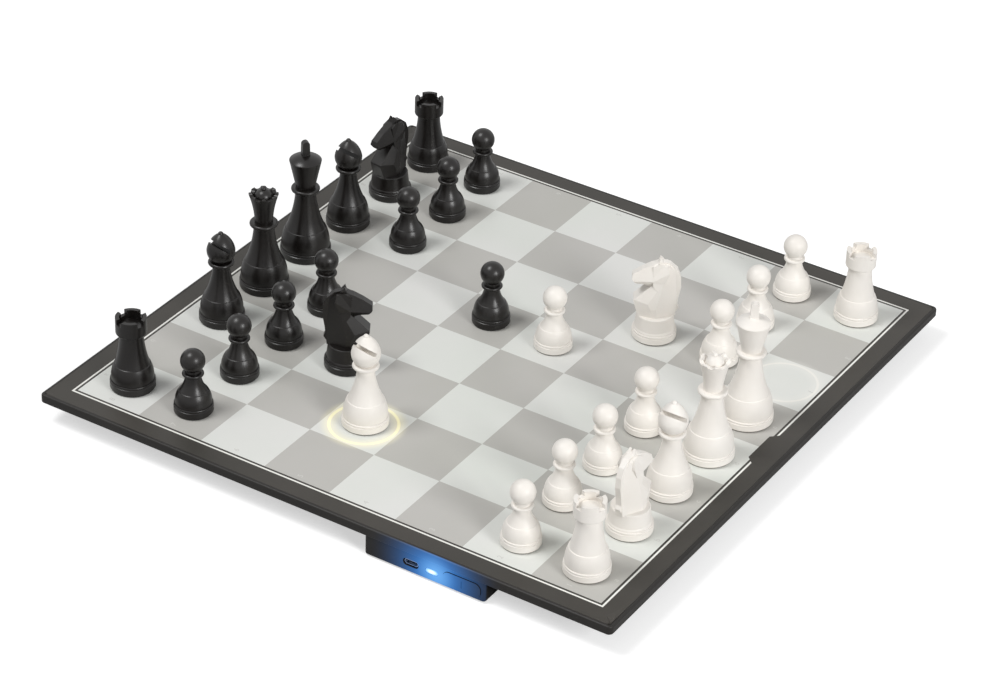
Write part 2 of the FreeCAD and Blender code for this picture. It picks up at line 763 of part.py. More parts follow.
def queen():
    base_r = 15.4
    crown_r = 9.2
    crown_z = 65.6
    dish_r = 7.3
    dish_z = 63.0
    dome_r = 5.6
    dome_z = 68.4
    knob_r = 1.7
    top = 70.2
    points = 8
    notch_r = 2.5
    notch_up = 0.9
    notch_in = 0.4
    rim_bevel = 0.4
    flare = (6.7, 55.8)
    knob_sink = 0.2
    dome_bulge = (0.76, 3.6)
    edges, point = stem_edges(base_r, bell_r=12.1, bell_z=18.8, neck_r=6.2, neck_z=43.2,
                              collar_r=8.8, collar_h=2.6, next_r=5.6)
    rim = (crown_r, crown_z - rim_bevel)
    top_rim = (crown_r - rim_bevel, crown_z)
    edges.append(arc(point, flare, rim))
    inner = (dish_r, crown_z)
    low = (dome_r, dish_z)
    knob = (knob_r, dome_z - knob_sink)
    peak = (0, top)
    edges.append(line(rim, top_rim))
    edges.append(line(top_rim, inner))
    edges.append(line(inner, low))
    edges.append(arc(low, (dome_r * dome_bulge[0], dish_z + dome_bulge[1]), knob))
    edges.append(cap(knob, top))
    edges.append(line(peak, (0, felt_h)))
    body = turned(edges)
    notches = []
    for i in range(points):
        notch = rod_x(notch_r, dome_r + notch_in, crown_r + through, 0, crown_z + notch_up)
        notch.rotate(V(0, 0, 0), V(0, 0, 1), 360.0 * i / points)
        notches.append(notch)
    return weighted(body.cut(notches), base_r)


def king():
    base_r = 16.0
    crown_r = 10.1
    crown_z = 67.4
    crown_rise = 3.2
    crown_bevel = 0.4
    bar_w = 5.2
    bar_t = 3.8
    bar_crown = 1.7
    bar_taper = 0.3
    bar_sink = 2.0
    top = 80.3
    edges, point = stem_edges(base_r, bell_r=12.8, bell_z=19.2, neck_r=6.3, neck_z=45.4,
                              collar_r=9.0, collar_h=2.7, next_r=6.0)
    edge = (crown_r, crown_z - crown_bevel)
    lip = (crown_r - crown_bevel, crown_z)
    peak = (0, crown_z + crown_rise)
    edges.append(line(point, edge))
    edges.append(line(edge, lip))
    edges.append(cap(lip, crown_z + crown_rise))
    edges.append(line(peak, (0, felt_h)))
    body = turned(edges)
    shoulder = top - bar_crown
    foot_z = crown_z - bar_sink
    wide = bar_w / 2
    slim = wide - bar_taper
    bar = [line((-wide, foot_z), (wide, foot_z)), line((wide, foot_z), (slim, shoulder)),
           arc((slim, shoulder), (0, top), (-slim, shoulder)), line((-slim, shoulder), (-wide, foot_z))]
    finial = Part.Face(Part.Wire(bar)).extrude(V(0, bar_t, 0))
    finial.translate(V(0, -bar_t / 2, 0))
    return weighted(body.fuse(finial).removeSplitter(), base_r)


# Flat-sided solid from a side outline (forward, up), as thick as twice the half width
def slab(outline, half_width):
    face = polygon([V(u, -half_width, z) for u, z in outline])
    return face.extrude(V(0, 2 * half_width, 0))


# Cuts both sides of a solid by a plane through a point (u, v, z), facing (nu, nv, nz), and its mirror
def faceted(solid, facets):
    reach = 80.0
    tools = []
    for point, normal in facets:
        for side in (-1, 1):
            base = V(point[0], side * point[1], point[2])
            out = V(normal[0], side * normal[1], normal[2])
            tool = Part.makeBox(reach, reach, reach, V(-reach / 2, -reach / 2, 0))
            tool.Placement = FreeCAD.Placement(base, FreeCAD.Rotation(V(0, 0, 1), out))
            tools.append(tool)
    for tool in tools:
        solid = solid.cut(tool)
    return solid


def knight():
    base_r = 13.7
    drum_r = 10.9
    drum_z = 16.8
    drum_bevel = 0.4
    edges, point = foot(base_r, bell_top_r=12.3, bell_top_z=8.0)
    shoulder = (drum_r + drum_bevel, drum_z - drum_bevel)
    edges.append(line(point, shoulder))
    edges.append(line(shoulder, (drum_r, drum_z)))
    edges.append(line((drum_r, drum_z), (0, drum_z)))
    edges.append(line((0, drum_z), (0, felt_h)))
    drum = turned(edges)
    sunk = drum_z - drum_bevel - sink
    back_bevel = ((-9.0, 3.6, 26.0), (-0.5, 1, 0.05))
    side_taper = ((0, 8.0, 24.0), (0, 1, 0.15))
    neck = slab([
        (-12.0, sunk), (-12.4, 26.0), (-13.4, 36.0), (-12.8, 42.5), (-10.6, 47.6), (-6.8, 51.2), (-1.5, 52.4),
        (3.0, 50.0), (2.4, 38.0), (-2.0, 32.0), (-2.0, sunk),
    ], 8.2)
    neck = faceted(neck, [side_taper, back_bevel])
    chest = slab([(-9.0, sunk), (-9.0, 43.6), (-3.0, 43.6), (13.7, 27.2), (13.7, 26.0), (10.6, sunk)], 8.2)
    chest = faceted(chest, [
        side_taper,
        back_bevel,
        ((3.0, 4.3, 37.7), (0.34, 1, 0.35)),
        ((3.4, 8.0, 17.6), (0.4, 1, -0.04)),
    ])
    head = slab([
        (-6.0, 51.6), (-0.3, 52.2), (4.0, 50.8), (9.6, 47.8), (15.0, 44.0), (15.2, 41.0), (13.0, 37.8), (7.0, 37.4),
        (2.6, 34.8), (-3.5, 38.0), (-7.0, 46.0),
    ], 5.8)
    head = faceted(head, [
        ((2.0, 5.6, 42.0), (0.2, 1, 0.3)),
        ((2.0, 2.4, 51.4), (0.12, 0.5, 1)),
        ((10.0, 4.0, 39.6), (0.1, 1, -0.7)),
    ])
    ears = slab([(-5.2, 50.6), (-3.6, 53.0), (-1.3, 55.9), (-0.2, 52.0), (0.4, 49.6)], 2.7)
    ears = faceted(ears, [((-1.3, 2.0, 55.9), (0, 1, 0.25))])
    ears = ears.cut(slab([(-8, 56.8), (3, 56.8), (3, 55.6), (-8, 52.4)], 0.6))
    mane = slab([
        (-9.0, sunk), (-12.0, 18.0), (-13.9, 21.2), (-12.8, 23.5), (-13.2, 28.0), (-14.6, 36.0), (-14.2, 42.5),
        (-12.0, 48.2), (-7.4, 52.2), (-3.4, 53.2), (-3.0, 49.0), (-9.0, 44.0),
    ], 1.8)
    body = drum.fuse([neck, chest, head, ears, mane]).removeSplitter()
    return weighted(body, base_r)


makers = {"pawn": pawn, "rook": rook, "knight": knight, "bishop": bishop, "queen": queen, "king": king}

# Turn of each kind about its own axis, as the pieces stand in the game
rook_turn = 31.0
slot_turn = 173.0
slot_sway = 8.0
queen_turn = 14.0
king_turn = -58.6
black_king_turn = -36.6

# Every piece: colour, kind, square, how far it stands off the square's middle in x and y, turn
game = [
    ("white", "rook", "a1", -1.5, -0.5, rook_turn), ("white", "knight", "b1", 0.0, 0.0, -3.0),
    ("white", "bishop", "c1", -0.5, 0.5, slot_turn + slot_sway), ("white", "queen", "d1", -1.0, 0.0, queen_turn),
    ("white", "king", "e1", -1.0, 0.0, king_turn), ("white", "rook", "h1", -1.0, -1.5, rook_turn),
    ("white", "pawn", "a2", -0.5, -2.0, 0.0), ("white", "pawn", "b2", 1.0, -0.5, 0.0),
    ("white", "pawn", "c2", -1.0, -1.0, 0.0), ("white", "pawn", "d2", 0.5, -1.0, 0.0),
    ("white", "pawn", "e4", -1.0, -1.5, 0.0), ("white", "pawn", "f2", -1.0, -1.0, 0.0),
    ("white", "pawn", "g2", 0.5, 0.0, 0.0), ("white", "pawn", "h2", -0.5, -1.5, 0.0),
    ("white", "knight", "f3", 0.0, 0.0, 121.4), ("white", "bishop", "b5", 1.5, 0.0, slot_turn - slot_sway),
    ("black", "rook", "a8", 0.0, -1.0, rook_turn), ("black", "bishop", "c8", -1.0, -0.5, slot_turn - slot_sway),
    ("black", "queen", "d8", 0.0, 1.0, queen_turn), ("black", "king", "e8", 0.5, 2.0, black_king_turn),
    ("black", "bishop", "f8", 0.0, 0.5, slot_turn), ("black", "knight", "g8", 1.3, -0.4, 170.0),
    ("black", "rook", "h8", 2.0, 0.5, rook_turn), ("black", "pawn", "a7", 0.0, -0.5, 0.0),
    ("black", "pawn", "b7", 0.5, -0.5, 0.0), ("black", "pawn", "c7", 0.0, -1.0, 0.0),
    ("black", "pawn", "d7", -0.5, -1.0, 0.0), ("black", "pawn", "e5", 0.5, -1.0, 0.0),
    ("black", "pawn", "f7", -0.5, -0.5, 0.0), ("black", "pawn", "g7", 0.0, -0.5, 0.0),
    ("black", "pawn", "h7", -2.0, 1.0, 0.0), ("black", "knight", "c6", 0.5, -1.5, -58.6),
]

masters = {}
for colour, kind, name, off_x, off_y, turn in game:
    if kind not in masters:
        masters[kind] = makers[kind]()
    x, y = place(name)
    solids = []
    for master in masters[kind]:
        solid = master.copy()
        solid.rotate(V(0, 0, 0), V(0, 0, 1), turn)
        solid.translate(V(x + off_x, y + off_y, top_z))
        solids.append(solid)
    save(colour + "_" + kind + "_" + name, solids)
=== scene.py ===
import math

import bpy
from mathutils import Matrix, Vector


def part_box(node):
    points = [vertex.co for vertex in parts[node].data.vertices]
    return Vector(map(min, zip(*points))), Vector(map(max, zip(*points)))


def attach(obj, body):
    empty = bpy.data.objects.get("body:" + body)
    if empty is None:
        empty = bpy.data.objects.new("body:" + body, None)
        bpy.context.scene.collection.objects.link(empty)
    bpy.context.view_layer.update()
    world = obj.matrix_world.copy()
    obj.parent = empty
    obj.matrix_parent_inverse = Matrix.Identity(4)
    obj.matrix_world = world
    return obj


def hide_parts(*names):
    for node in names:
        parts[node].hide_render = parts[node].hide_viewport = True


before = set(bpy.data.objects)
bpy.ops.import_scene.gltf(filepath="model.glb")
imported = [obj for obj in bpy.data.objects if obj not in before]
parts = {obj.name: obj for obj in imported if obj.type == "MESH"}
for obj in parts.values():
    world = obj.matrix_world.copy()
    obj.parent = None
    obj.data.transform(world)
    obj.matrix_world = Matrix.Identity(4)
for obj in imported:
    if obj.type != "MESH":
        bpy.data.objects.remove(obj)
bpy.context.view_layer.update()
mm = 0.001
bpy.ops.object.select_all(action="DESELECT")


# Frame
# The board's edge is one moulded ring of dark ABS with a satin, finely grained skin and soft arrises.
# The printed sheet drops into a step on its upper side, and the tray closes it from below.
def screen(red, green, blue):
    """A colour as a screen shows it, 0 to 255, as light values for a shader, by the sRGB curve."""
    light = []
    for value in (red, green, blue):
        share = value / 255
        light.append(share / 12.92 if share <= 0.04045 else ((share + 0.055) / 1.055) ** 2.4)
    return (*light, 1.0)


def put(tree, kind, inputs, **settings):
    """A shader node with its settings made and its inputs set or linked."""
    made = tree.nodes.new("ShaderNode" + kind)
    for name, value in settings.items():
        setattr(made, name, value)
    for name, value in inputs.items():
        if isinstance(value, bpy.types.NodeSocket):
            tree.links.new(value, made.inputs[name])
        else:
            made.inputs[name].default_value = value
    return made


mix_share, mix_first, mix_second = 0, 6, 7
mix_colour = 2


def blended(tree, share, first, second):
    """The colour between two colours at a share from 0 to 1."""
    made = tree.nodes.new("ShaderNodeMix")
    made.data_type = "RGBA"
    for place, value in ((mix_share, share), (mix_first, first), (mix_second, second)):
        if isinstance(value, bpy.types.NodeSocket):
            tree.links.new(value, made.inputs[place])
        else:
            made.inputs[place].default_value = value
    return made.outputs[mix_colour]


def ranged(tree, value, start, end, at_start, at_end, curve="LINEAR"):
    """A value's run from start to end, turned into a run between two other values."""
    limits = {"Value": value, "From Min": start, "From Max": end, "To Min": at_start, "To Max": at_end}
    return put(tree, "MapRange", limits, interpolation_type=curve).outputs["Result"]


noise_low = 0.3
noise_high = 0.7


def spread(tree, noise, low, high):
    """A noise value, which mostly keeps to the middle of its range, stretched over a range."""
    return ranged(tree, noise, noise_low, noise_high, low, high)


def opened(material):
    """A material's tree, its shader, and the place on the piece as a value."""
    tree = material.node_tree
    spot = put(tree, "TexCoord", {}).outputs["Object"]
    return tree, tree.nodes["Principled BSDF"], spot


gloss_drift = 0.04
grain_strength = 0.5


def moulded(name, shade, tint, roughness, grain, grain_deep, patch=0.03, gloss=0.25):
    """Moulded plastic: two close shades in soft patches, a fine grain, and gloss that varies with it."""
    material = bpy.data.materials.new(name)
    material.use_nodes = True
    tree, shader, spot = opened(material)
    cloud = put(tree, "TexNoise", {"Vector": spot, "Scale": 1 / patch, "Detail": 3.0}).outputs["Fac"]
    fine = put(tree, "TexNoise", {"Vector": spot, "Scale": 1 / grain, "Detail": 2.0}).outputs["Fac"]
    tree.links.new(blended(tree, spread(tree, cloud, 0.0, 1.0), shade, tint), shader.inputs["Base Color"])
    rough = spread(tree, cloud, roughness - gloss_drift, roughness + gloss_drift)
    tree.links.new(rough, shader.inputs["Roughness"])
    bump = put(tree, "Bump", {"Height": fine, "Strength": grain_strength, "Distance": grain_deep})
    tree.links.new(bump.outputs["Normal"], shader.inputs["Normal"])
    shader.inputs["Specular IOR Level"].default_value = gloss
    return material


def dress(material, *names):
    """Puts one finish on CAD nodes."""
    for name in names:
        parts[name].data.materials.clear()
        parts[name].data.materials.append(material)


# The status lamp's blue glow on the frame, pod, button and port is painted: an emission in their finishes,
# fading with distance from the lamp and shown only on faces that look its way.
lamp_spot = (-195.2 * mm, -82.5 * mm, 7.0 * mm)
glow_reach = 47 * mm
glow_fall = 2.5
glow_blue = (0.05, 0.33, 1.0, 1)
glow_pale = (0.22, 0.52, 0.85, 1)
pale_reach = 15 * mm
pale_share = 0.5
glow_facing = (-1, 0, 0)
facing_soft = 0.5
no_light = (0, 0, 0, 1)


def painted_lamp_glow(material):
    """Painted blue glow of the status lamp: emission on the faces round it that look the same way, fading
    with distance.
    """
    tree, shader, spot = opened(material)
    away = put(tree, "VectorMath", {0: spot, 1: lamp_spot}, operation="DISTANCE").outputs["Value"]
    near = ranged(tree, away, 0.0, glow_reach, 1.0, 0.0)
    fade = put(tree, "Math", {0: near, 1: glow_fall}, operation="POWER").outputs["Value"]
    close = ranged(tree, away, 0.0, pale_reach, pale_share, 0.0, "SMOOTHSTEP")
    normal = put(tree, "NewGeometry", {}).outputs["Normal"]
    outward = put(tree, "VectorMath", {0: normal, 1: glow_facing}, operation="DOT_PRODUCT").outputs["Value"]
    open_face = ranged(tree, outward, 0.0, facing_soft, 0.0, 1.0)
    glow = blended(tree, fade, no_light, glow_blue)
    glow = blended(tree, close, glow, glow_pale)
    tree.links.new(blended(tree, open_face, no_light, glow), shader.inputs["Emission Color"])
    shader.inputs["Emission Strength"].default_value = 1.0
    return material


frame_plastic = moulded(
    "frame_plastic", screen(33, 31, 29), screen(41, 39, 37),
    roughness=0.42, grain=0.35 * mm, grain_deep=0.012 * mm,
)
# The frame's faces near the status lamp carry its painted blue glow.
dress(painted_lamp_glow(frame_plastic), "frame")

# Playing sheet
# One sheet of polycarbonate, screen printed with the squares, a dark border and a thin white line, and given
# a satin topcoat. It is bonded into the frame's step, and the glow of the lit ring lights is painted into its
# ink.
hair = 0.01 * mm
square = 45 * mm
squares = 8
field = squares * square
first_middle = (squares - 1) / 2
files = "abcdefgh"
sheet_low, sheet_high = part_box("playing_sheet")
sheet_top = sheet_high.z
sheet_thick = sheet_high.z - sheet_low.z
gap_reach = 181.4 * mm
line_reach = 182.6 * mm
sheet_reach = sheet_high.x
sheet_corner = 1.5 * mm
tab_inner = -178.2 * mm
tab_half = 12.5 * mm
tab_lean = 1.35
# The painted glow round a lit ring: a bright core on the ring's line and a fainter halo either side.
ring_radius = 20.4 * mm
core_half = 0.3 * mm
core_end = 1.5 * mm
halo_end = 7 * mm
halo_share = 0.36


def printed(name, shade, tint, roughness, rings=()):
    """Ink under a satin topcoat, with soft clouding, and a painted glow for each ring light that is on:
    emission round the ring, and the ink there painted lighter.
    """
    material = moulded(
        name, shade, tint,
        roughness=roughness, grain=0.5 * mm, grain_deep=0.004 * mm, patch=0.08, gloss=0.2,
    )
    tree, shader, spot = opened(material)
    glow = no_light
    ink = shader.inputs["Base Color"].links[0].from_socket
    for x, y, light, painted_glow_ink in rings:
        out = put(tree, "VectorMath", {0: spot, 1: (x, y, sheet_top)}, operation="DISTANCE").outputs["Value"]
        off = put(tree, "Math", {0: out, 1: ring_radius}, operation="SUBTRACT").outputs["Value"]
        off = put(tree, "Math", {0: off}, operation="ABSOLUTE").outputs["Value"]
        core = ranged(tree, off, core_half, core_end, 1.0, 0.0, "SMOOTHSTEP")
        halo = ranged(tree, off, 0.0, halo_end, halo_share, 0.0, "SMOOTHSTEP")
        # How much painted glow falls here: the larger of core and halo.
        lamp = put(tree, "Math", {0: core, 1: halo}, operation="MAXIMUM").outputs["Value"]
        glow = blended(tree, lamp, glow, light)
        ink = blended(tree, lamp, ink, painted_glow_ink)
    if rings:
        tree.links.new(glow, shader.inputs["Emission Color"])
        tree.links.new(ink, shader.inputs["Base Color"])
        shader.inputs["Emission Strength"].default_value = 1.0
    return material


def choose(piece, test, kind="FACE"):
    """Selects the faces, edges or vertices of a mesh whose middle passes a test, and goes to edit mode."""
    bpy.ops.object.mode_set(mode="EDIT")
    bpy.ops.mesh.select_mode(type=kind)
    bpy.ops.mesh.select_all(action="DESELECT")
    bpy.ops.object.mode_set(mode="OBJECT")
    data = piece.data
    if kind == "FACE":
        for face in data.polygons:
            face.select = test(face.center)
    elif kind == "EDGE":
        for edge in data.edges:
            ends = [data.vertices[i].co for i in edge.vertices]
            edge.select = test((ends[0] + ends[1]) / 2)
    else:
        for corner in data.vertices:
            corner.select = test(corner.co)
    bpy.ops.object.mode_set(mode="EDIT")


def settle(piece):
    """Puts a finished piece's place and size into its mesh."""
    bpy.ops.object.select_all(action="DESELECT")
    piece.select_set(True)
    bpy.context.view_layer.objects.active = piece
    bpy.ops.object.transform_apply(location=True, rotation=True, scale=True)
    bpy.ops.object.select_all(action="DESELECT")


def finish_with(piece, kind, **settings):
    """Adds a modifier and applies it."""
    bpy.context.view_layer.objects.active = piece
    modifier = piece.modifiers.new(kind.lower(), kind)
    for name, value in settings.items():
        setattr(modifier, name, value)
    bpy.ops.object.modifier_apply(modifier=modifier.name)


bpy.ops.mesh.primitive_grid_add(
    x_subdivisions=squares, y_subdivisions=squares, size=field, location=(0, 0, sheet_top),
)
sheet = bpy.context.object
sheet.name = "printed_sheet"
settle(sheet)
bpy.context.view_layer.objects.active = sheet
reach = field / 2
for wider in (gap_reach, line_reach, sheet_reach):
    choose(sheet, lambda c: max(abs(c.x), abs(c.y)) > reach - hair, "EDGE")
    bpy.ops.mesh.extrude_edges_move()
    bpy.ops.transform.resize(value=(wider / reach, wider / reach, 1), center_override=(0, 0, sheet_top))
    bpy.ops.object.mode_set(mode="OBJECT")
    reach = wider


def near_tab(c):
    """Faces on the white side that the bare tab's outline crosses."""
    return abs(c.x) < square and -line_reach < c.y < -field / 2 + square


tab_cuts = (
    ((0, tab_inner, sheet_top), (0, 1, 0)),
    ((tab_half, tab_inner, sheet_top), (1, tab_lean, 0)),
    ((-tab_half, tab_inner, sheet_top), (-1, tab_lean, 0)),
)
for point, facing in tab_cuts:
    choose(sheet, near_tab)
    bpy.ops.mesh.bisect(plane_co=point, plane_no=facing)
    bpy.ops.object.mode_set(mode="OBJECT")
choose(sheet, lambda c: min(abs(c.x), abs(c.y)) > sheet_reach - hair, "VERT")
bpy.ops.mesh.bevel(affect="VERTICES", offset=sheet_corner, segments=4)
bpy.ops.object.mode_set(mode="OBJECT")


def middle(name):
    """Middle of a square, such as b5."""
    column = files.index(name[0])
    row = int(name[1]) - 1
    return (column - first_middle) * square, (row - first_middle) * square


# The two lit rings' glow is painted on the sheet: an emission colour and a lighter ink round each ring, warm
# and bright for b5, faint for f1.
painted_ring_glows = [
    (*middle("b5"), (0.36, 0.32, 0.13, 1), screen(238, 233, 206)),
    (*middle("f1"), (0.10, 0.095, 0.085, 1), screen(226, 225, 220)),
]
ink_rough = 0.40
border_rough = 0.42
inks = [
    printed("light_square_ink", screen(221, 224, 218), screen(226, 226, 223), ink_rough, painted_ring_glows),
    printed("dark_square_ink", screen(186, 185, 179), screen(192, 190, 186), ink_rough, painted_ring_glows),
    printed("border_ink", screen(60, 58, 54), screen(70, 67, 63), border_rough),
    printed("white_line_ink", screen(236, 236, 230), screen(240, 239, 234), ink_rough),
]
light_ink, dark_ink, border_ink, line_ink = range(len(inks))
for ink in inks:
    sheet.data.materials.append(ink)


def ink_at(c):
    """Which ink covers a place on the sheet."""
    far = max(abs(c.x), abs(c.y))
    if c.y < tab_inner and abs(c.x) < tab_half + tab_lean * (tab_inner - c.y):
        return border_ink
    if far < field / 2:
        column = int((c.x + field / 2) // square)
        row = int((c.y + field / 2) // square)
        return dark_ink if (column + row) % 2 == 0 else light_ink
    return line_ink if gap_reach < far < line_reach else border_ink


for face in sheet.data.polygons:
    face.material_index = ink_at(face.center)
finish_with(sheet, "SOLIDIFY", thickness=sheet_thick, offset=-1)
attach(sheet, "board")
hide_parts("playing_sheet")

# Square marks
# Small letters and figures beside the outer squares, printed in one pale grey ink
# that is a little darker than the light squares and a little lighter than the dark ones.
mark_size = 5.0 * mm
mark_line = 176.0 * mm
ink_film = 0.02 * mm
mark_places = []
for i, letter in enumerate(files):
    step = (i - first_middle) * square
    mark_places += [(letter, step, -mark_line, 0.0), (letter, step, mark_line, math.pi)]
    mark_places += [(str(i + 1), -mark_line, step, 0.0), (str(i + 1), mark_line, step, math.pi)]
glyphs = []
for text, x, y, turn in mark_places:
    bpy.ops.object.text_add(location=(x, y, sheet_top), rotation=(0, 0, turn))
    glyph = bpy.context.object
    glyph.data.body = text
    glyph.data.size = mark_size
    glyph.data.align_x = "CENTER"
    glyph.data.align_y = "CENTER"
    glyph.data.resolution_u = 3
    glyph.data.extrude = ink_film
    glyphs.append(glyph)
bpy.ops.object.select_all(action="DESELECT")
for glyph in glyphs:
    glyph.select_set(True)
bpy.context.view_layer.objects.active = glyphs[0]
bpy.ops.object.convert(target="MESH")
bpy.ops.object.join()
marks = bpy.context.object
marks.name = "square_marks"
settle(marks)
marks.data.materials.clear()
marks.data.materials.append(printed("mark_ink", screen(204, 204, 199), screen(208, 207, 203), ink_rough))
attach(marks, "board")

# Light panel and ring lights
# A white polycarbonate panel keeps the light of each square apart. Clear acrylic rings lie in its grooves
# and carry the light of two small LEDs up to the sheet. Here the LEDs give no light; the glow of the lit
# rings is painted on the sheet's inks.
panel_white = screen(232, 232, 228)
panel_pale = screen(240, 240, 236)
panel_plastic = moulded(
    "panel_plastic", panel_white, panel_pale,
    roughness=0.5, grain=0.6 * mm, grain_deep=0.01 * mm,
)
dress(panel_plastic, "light_panel")
ring_shade = screen(225, 232, 230)
ring_tint = screen(238, 242, 240)
ring_acrylic = moulded(
    "ring_acrylic", ring_shade, ring_tint,
    roughness=0.18, grain=0.8 * mm, grain_deep=0.004 * mm,
)
ring_clear = 0.6
ring_acrylic.node_tree.nodes["Principled BSDF"].inputs["Transmission Weight"].default_value = ring_clear
dress(ring_acrylic, "light_rings")

# Sensor board
# A glass-fibre circuit board under the whole field, with a sensor in the middle of each square
# and two LEDs under each ring. It stands on the tray's pegs.
track_share = 0.012


def circuit(name, mask, copper, pitch):
    """Circuit board: solder mask over straight copper tracks that show as a slightly lighter weave."""
    material = moulded(
        name, mask, copper,
        roughness=0.35, grain=0.3 * mm, grain_deep=0.006 * mm,
    )
    tree, shader, spot = opened(material)
    weave = {"Vector": spot, "Scale": 1 / pitch, "Color1": (0, 0, 0, 1), "Color2": (0, 0, 0, 1),
             "Mortar": (1, 1, 1, 1), "Mortar Size": track_share}
    tracks = put(tree, "TexBrick", weave).outputs["Color"]
    tree.links.new(blended(tree, tracks, mask, copper), shader.inputs["Base Color"])
    return material


board_green = circuit("circuit_board", screen(18, 62, 40), screen(36, 98, 64), pitch=12 * mm)
dress(board_green, "sensor_board", "main_board")
chip_black = moulded(
    "chip_black", screen(28, 28, 30), screen(36, 36, 38),
    roughness=0.55, grain=0.2 * mm, grain_deep=0.004 * mm,
)
dress(chip_black, "piece_sensors", "push_switch")
led_resin = moulded(
    "led_resin", screen(238, 232, 205), screen(246, 242, 222),
    roughness=0.3, grain=0.3 * mm, grain_deep=0.003 * mm,
)
dress(led_resin, "ring_leds", "status_led")

# Tray
# The floor of the board is a moulded black ABS plate with bosses and pegs. Its underside has
# a coarser grain than the frame, and screws hold it to the frame's shelf.
tray_plastic = moulded(
    "tray_plastic", screen(30, 30, 30), screen(38, 37, 36),
    roughness=0.6, grain=0.7 * mm, grain_deep=0.04 * mm,
)
dress(tray_plastic, "tray")

# Screws
# Blackened steel, cold headed with a cross recess and a soft edge, and let flush into the plastic.
# A row along each edge holds the tray, and four go up through the pod's floor into the tray's bosses.
head_r = 2.0 * mm
head_h = 1.0 * mm
head_round = 0.3 * mm
shank_r = 1.0 * mm
recess_long = 2.4 * mm
recess_wide = 0.6 * mm
recess_deep = 0.7 * mm
smooth_below = math.radians(30)


def metallic(material, share=1.0):
    """Makes a finish metal, in whole or in part."""
    material.node_tree.nodes["Principled BSDF"].inputs["Metallic"].default_value = share


steel = moulded(
    "screw_steel", screen(60, 60, 62), screen(88, 88, 90),
    roughness=0.32, grain=0.15 * mm, grain_deep=0.004 * mm,
)
metallic(steel)
dress(steel, "main_board_screws")


def screw_blank(length):
    """One screw, head down at the origin, with its recess cut."""
    bpy.ops.mesh.primitive_cube_add(size=1)
    cutter = bpy.context.object
    cutter.scale = (recess_long, recess_wide, 2 * recess_deep)
    settle(cutter)
    bpy.context.view_layer.objects.active = cutter
    choose(cutter, lambda c: True)
    bpy.ops.mesh.duplicate()
    bpy.ops.transform.rotate(value=math.pi / 2, orient_axis="Z", center_override=(0, 0, 0))
    bpy.ops.object.mode_set(mode="OBJECT")
    bpy.ops.object.select_all(action="DESELECT")
    bpy.ops.mesh.primitive_cylinder_add(vertices=32, radius=head_r, depth=head_h, location=(0, 0, head_h / 2))
    blank = bpy.context.object
    settle(blank)
    bpy.context.view_layer.objects.active = blank
    choose(blank, lambda c: c.z > head_h - hair)
    bpy.ops.mesh.inset(thickness=head_r - shank_r)
    bpy.ops.mesh.extrude_region_move(TRANSFORM_OT_translate={"value": (0, 0, length - head_h)})
    bpy.ops.object.mode_set(mode="OBJECT")
    choose(blank, lambda c: c.z < hair, "EDGE")
    bpy.ops.mesh.bevel(offset=head_round, segments=3)
    bpy.ops.object.mode_set(mode="OBJECT")
    finish_with(blank, "BOOLEAN", object=cutter, operation="DIFFERENCE", solver="EXACT", use_self=True)
    bpy.data.objects.remove(cutter)
    return blank


def set_out(name, blank, spots, material):
    """Copies of a finished piece at each place, joined into one object."""
    copies = []
    for spot in spots:
        copy = blank.copy()
        copy.data = blank.data.copy()
        copy.location = spot
        bpy.context.scene.collection.objects.link(copy)
        copies.append(copy)
    bpy.data.objects.remove(blank)
    bpy.ops.object.select_all(action="DESELECT")
    for copy in copies:
        copy.select_set(True)
    bpy.context.view_layer.objects.active = copies[0]
    bpy.ops.object.join()
    whole = bpy.context.object
    whole.name = name
    settle(whole)
    whole.select_set(True)
    bpy.ops.object.shade_smooth_by_angle(angle=smooth_below)
    bpy.ops.object.select_all(action="DESELECT")
    whole.data.materials.clear()
    whole.data.materials.append(material)
    return whole


low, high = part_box("tray_screws")
screw_line = high.x - head_r
edge_shares = (-0.75, -0.25, 0.25, 0.75)
tray_spots = []
for share in edge_shares:
    along = share * screw_line
    tray_spots += [(along, screw_line, low.z), (along, -screw_line, low.z)]
    tray_spots += [(screw_line, along, low.z), (-screw_line, along, low.z)]
tray_screws = set_out("tray_screw_set", screw_blank(high.z - low.z), tray_spots, steel)
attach(tray_screws, "board")
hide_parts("tray_screws")

low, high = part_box("pod_screws")
pod_xs = (low.x + head_r, high.x - head_r)
pod_ys = (low.y + head_r, high.y - head_r)
pod_spots = [(x, y, low.z) for x in pod_xs for y in pod_ys]
pod_screws = set_out("pod_screw_set", screw_blank(high.z - low.z), pod_spots, steel)
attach(pod_screws, "board")
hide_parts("pod_screws")

# Legs and foot pads
# Four conical legs of the tray's own plastic lift the board to the height of the pod.
# A black rubber pad with a soft rim and a suction groove is let into each foot and into the pod's floor.
dress(tray_plastic, "legs")
rubber = moulded(
    "pad_rubber", screen(24, 24, 24), screen(32, 31, 30),
    roughness=0.85, grain=0.4 * mm, grain_deep=0.03 * mm,
)
pad_r = 7.0 * mm
pad_round = 0.4 * mm
rim_band = 0.1 * mm
groove_out = 2.0 * mm
groove_wide = 1.2 * mm
groove_deep = 0.4 * mm
low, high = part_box("foot_pads")
pad_h = high.z - low.z
bpy.ops.object.select_all(action="DESELECT")
bpy.ops.mesh.primitive_cylinder_add(vertices=64, radius=pad_r, depth=pad_h, location=(0, 0, pad_h / 2))
pad = bpy.context.object
settle(pad)
bpy.context.view_layer.objects.active = pad
choose(pad, lambda c: c.z < hair)
bpy.ops.mesh.inset(thickness=groove_out)
bpy.ops.mesh.inset(thickness=groove_wide)
bpy.ops.object.mode_set(mode="OBJECT")
groove_mid = pad_r - groove_out - groove_wide / 2
choose(pad, lambda c: c.z < hair and abs(c.xy.length - groove_mid) < groove_wide / 4)
